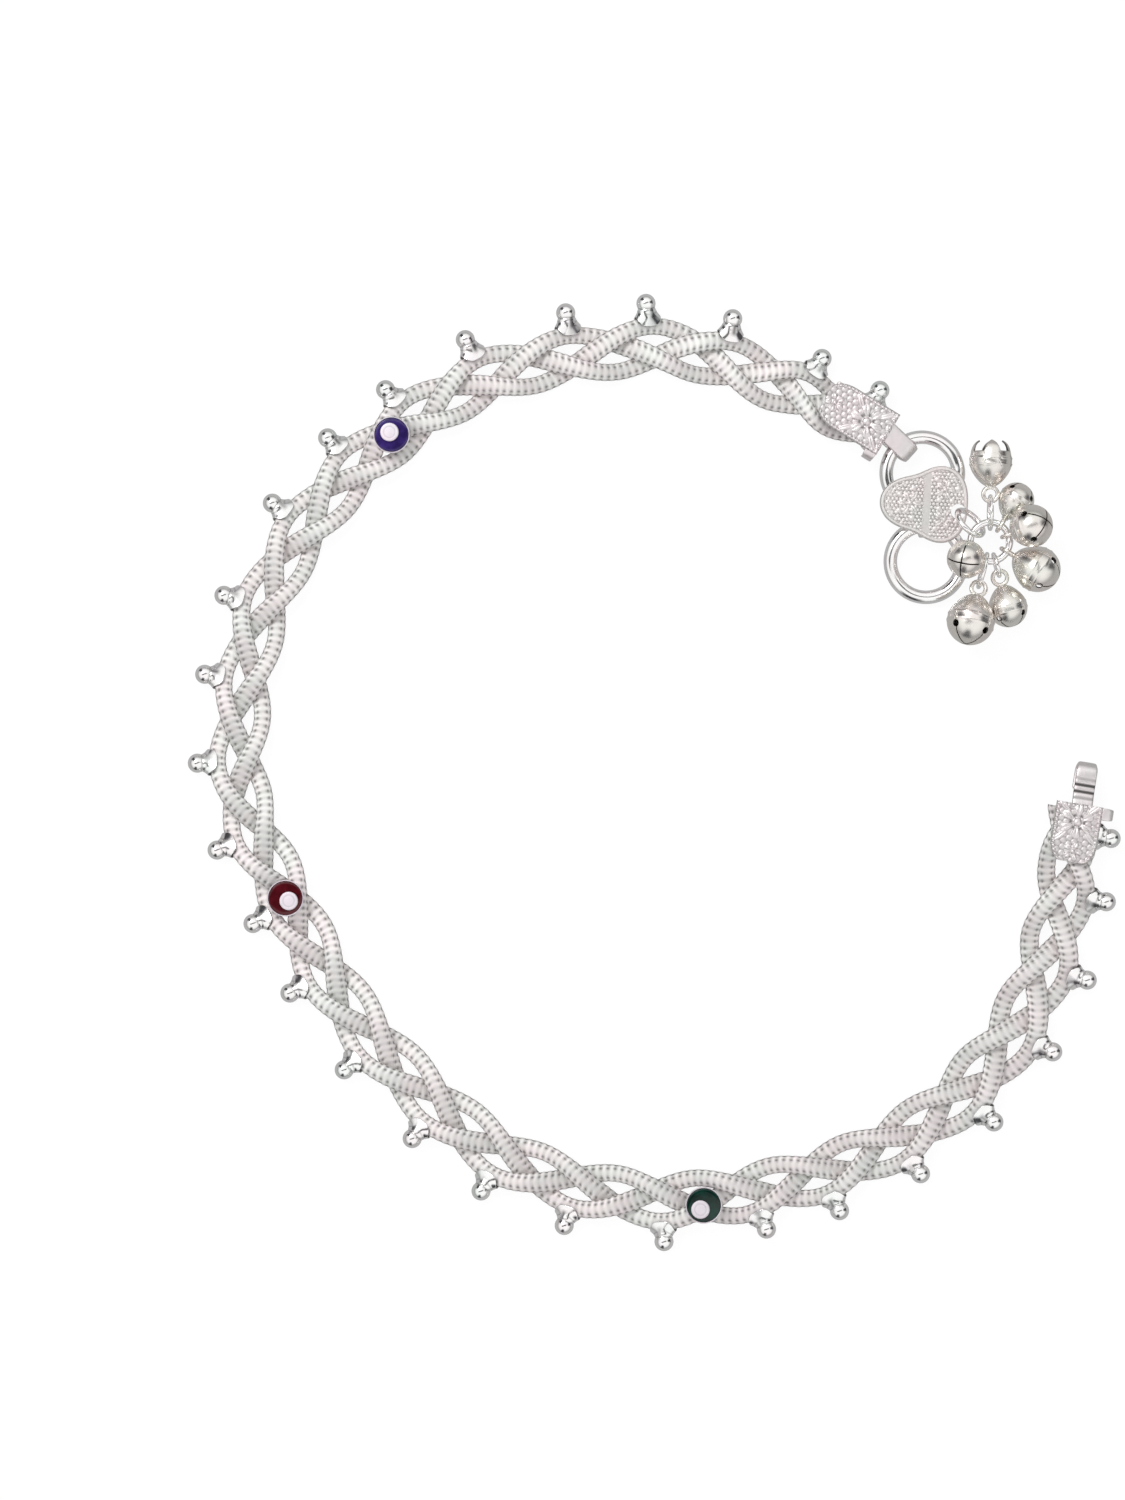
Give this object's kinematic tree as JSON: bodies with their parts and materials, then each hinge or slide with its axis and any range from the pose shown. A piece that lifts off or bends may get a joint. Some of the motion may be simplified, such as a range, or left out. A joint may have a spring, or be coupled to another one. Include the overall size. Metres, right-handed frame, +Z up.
{
  "type": "anklet",
  "caption": "Open silver anklet of plaited flat chains with ball drops, enamelled studs, stamped end caps, hook and ring, and a heart plate with a bunch of bells.",
  "frame": {"origin": "middle of the anklet's footprint, on the surface that it lies on", "axes": "+Z up from the surface, +Y from the hook's end towards the ring's end of the opening, which faces +X"},
  "size_m": [0.11, 0.1129, 0.0082],
  "materials": {
    "silver": "polished silver",
    "chain_silver": "faceted rope chain in bright silver, darker in its dents",
    "drop_silver": "polished silver with a satin waist",
    "cap_silver": "stamped silver, oxidised in the relief",
    "bell_silver": "polished silver, dark inside",
    "enamel_green": "dark green gloss enamel",
    "enamel_red": "dark red gloss enamel",
    "enamel_violet": "dark violet gloss enamel"
  },
  "bodies": {
    "root": {"strand_1": "chain_silver", "strand_2": "chain_silver", "strand_3": "chain_silver", "ball_drop_01": "drop_silver", "ball_drop_02": "drop_silver", "ball_drop_03": "drop_silver", "ball_drop_04": "drop_silver", "ball_drop_05": "drop_silver", "ball_drop_06": "drop_silver", "ball_drop_07": "drop_silver", "ball_drop_08": "drop_silver", "ball_drop_09": "drop_silver", "ball_drop_10": "drop_silver", "ball_drop_11": "drop_silver", "ball_drop_12": "drop_silver", "ball_drop_13": "drop_silver", "ball_drop_14": "drop_silver", "ball_drop_15": "drop_silver", "ball_drop_16": "drop_silver", "ball_drop_17": "drop_silver", "ball_drop_18": "drop_silver", "ball_drop_19": "drop_silver", "ball_drop_20": "drop_silver", "ball_drop_21": "drop_silver", "ball_drop_22": "drop_silver", "ball_drop_23": "drop_silver", "ball_drop_24": "drop_silver", "ball_drop_25": "drop_silver", "ball_drop_26": "drop_silver", "ball_drop_27": "drop_silver", "ball_drop_28": "drop_silver", "end_cap_hook": "cap_silver", "end_cap_ring": "cap_silver", "ring_upper": "silver", "ring_lower": "silver", "heart_plate": "cap_silver", "link_heart": "silver", "ring_bunch": "silver", "link_bell_1": "silver", "link_bell_5": "silver", "link_bell_6": "silver", "bell_1": "bell_silver", "bell_2": "bell_silver", "bell_3": "bell_silver", "bell_4": "bell_silver", "bell_5": "bell_silver", "bell_6": "bell_silver", "bell_7": "bell_silver", "stud_green": "silver", "enamel_green": "enamel_green", "stud_red": "silver", "enamel_red": "enamel_red", "stud_violet": "silver", "enamel_violet": "enamel_violet"}
  },
  "joints": []
}
